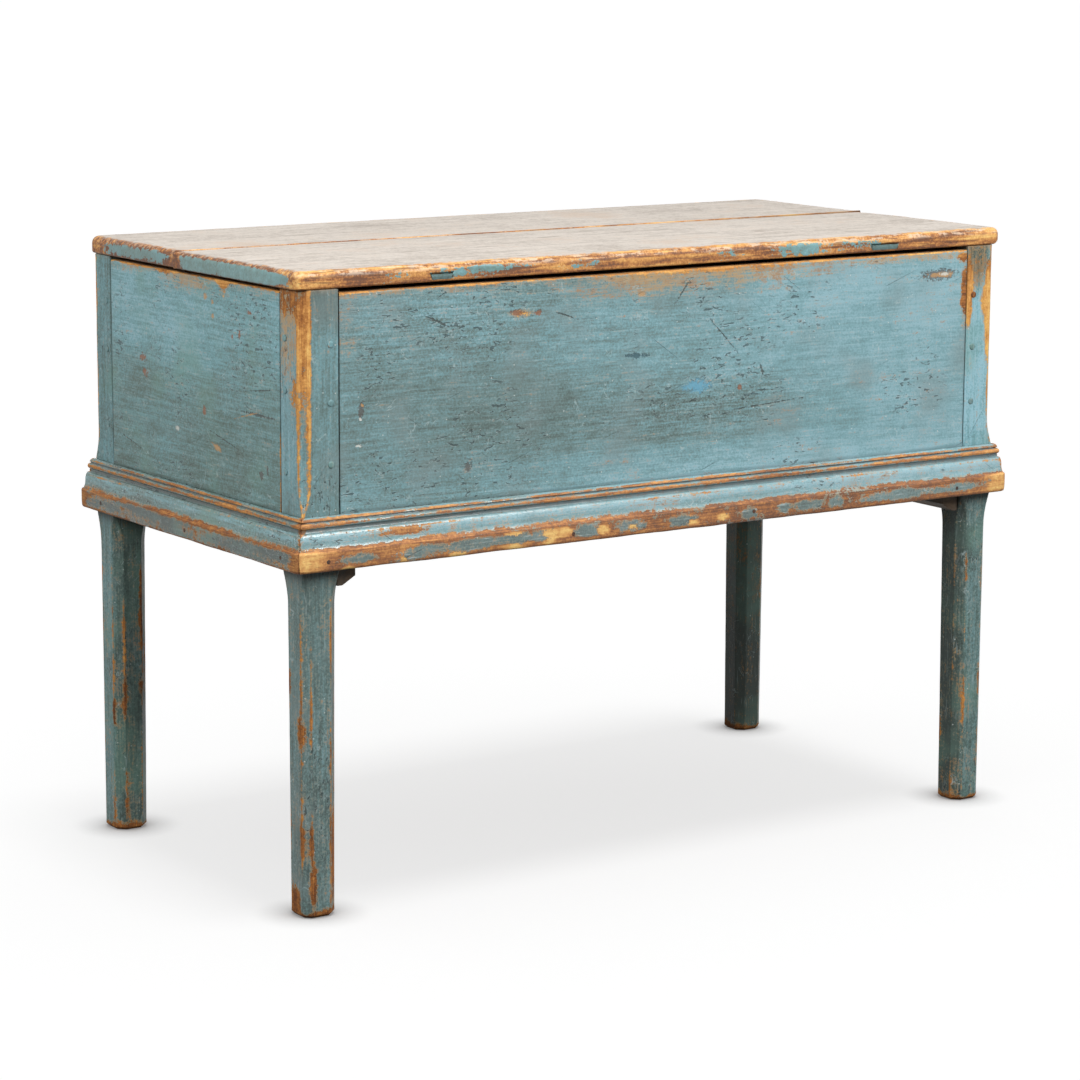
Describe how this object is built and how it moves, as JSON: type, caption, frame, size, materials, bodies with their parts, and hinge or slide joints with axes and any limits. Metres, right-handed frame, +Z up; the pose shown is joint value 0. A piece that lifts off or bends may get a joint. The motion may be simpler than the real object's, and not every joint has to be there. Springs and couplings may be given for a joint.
{
  "type": "dough box",
  "caption": "Long lidded board box standing on chamfered corner-post legs, with a mitred base moulding, for mixing and keeping dough; the lid is hinged at the back.",
  "frame": {"origin": "on the floor under the middle of the box", "axes": "+X along the length of the box to its right end, +Y from its front to its hinged back, +Z up"},
  "size_m": [1.085, 0.557, 0.7658],
  "materials": {
    "blue_paint": "worn blue-green milk paint over softwood, rubbed through to the wood at the edges",
    "scrubbed_wood": "bare scrubbed softwood, pale grey",
    "bare_wood": "unpainted aged softwood",
    "peg_wood": "whittled hardwood under worn paint",
    "dark_iron": "dark aged iron"
  },
  "bodies": {
    "box": {"post_front_left": "blue_paint", "post_front_right": "blue_paint", "post_back_left": "blue_paint", "post_back_right": "blue_paint", "panel_front": "blue_paint", "panel_back": "blue_paint", "panel_left": "blue_paint", "panel_right": "blue_paint", "moulding_front": "blue_paint", "moulding_back": "blue_paint", "moulding_left": "blue_paint", "moulding_right": "blue_paint", "bottom_board_front": "bare_wood", "bottom_board_middle": "bare_wood", "bottom_board_back": "bare_wood", "bottom_cleat_left": "blue_paint", "bottom_cleat_right": "blue_paint", "peg_front_left_1": "peg_wood", "peg_front_left_2": "peg_wood", "peg_front_left_3": "peg_wood", "peg_front_right_1": "peg_wood", "peg_front_right_2": "peg_wood", "peg_front_right_3": "peg_wood", "peg_back_left_1": "peg_wood", "peg_back_left_2": "peg_wood", "peg_back_left_3": "peg_wood", "peg_back_right_1": "peg_wood", "peg_back_right_2": "peg_wood", "peg_back_right_3": "peg_wood", "peg_left_front_1": "peg_wood", "peg_left_front_2": "peg_wood", "peg_left_front_3": "peg_wood", "peg_left_back_1": "peg_wood", "peg_left_back_2": "peg_wood", "peg_left_back_3": "peg_wood", "peg_right_front_1": "peg_wood", "peg_right_front_2": "peg_wood", "peg_right_front_3": "peg_wood", "peg_right_back_1": "peg_wood", "peg_right_back_2": "peg_wood", "peg_right_back_3": "peg_wood", "hinge_left_box_leaf": "dark_iron", "hinge_right_box_leaf": "dark_iron", "hinge_left_pin": "dark_iron", "hinge_right_pin": "dark_iron", "hinge_left_box_screw_1": "dark_iron", "hinge_left_box_screw_2": "dark_iron", "hinge_right_box_screw_1": "dark_iron", "hinge_right_box_screw_2": "dark_iron"},
    "lid": {"lid_board_front": "scrubbed_wood", "lid_board_back": "scrubbed_wood", "lid_batten_left": "bare_wood", "lid_batten_right": "bare_wood", "hinge_left_lid_leaf": "dark_iron", "hinge_right_lid_leaf": "dark_iron", "hinge_left_lid_screw_1": "dark_iron", "hinge_left_lid_screw_2": "dark_iron", "hinge_right_lid_screw_1": "dark_iron", "hinge_right_lid_screw_2": "dark_iron"}
  },
  "joints": [
    {"name": "lid_hinge", "type": "hinge", "parent": "box", "child": "lid", "pos_m": [0, 0.2653, 0.7414], "axis": [-1, 0, 0], "range_deg": [0, 105]}
  ]
}
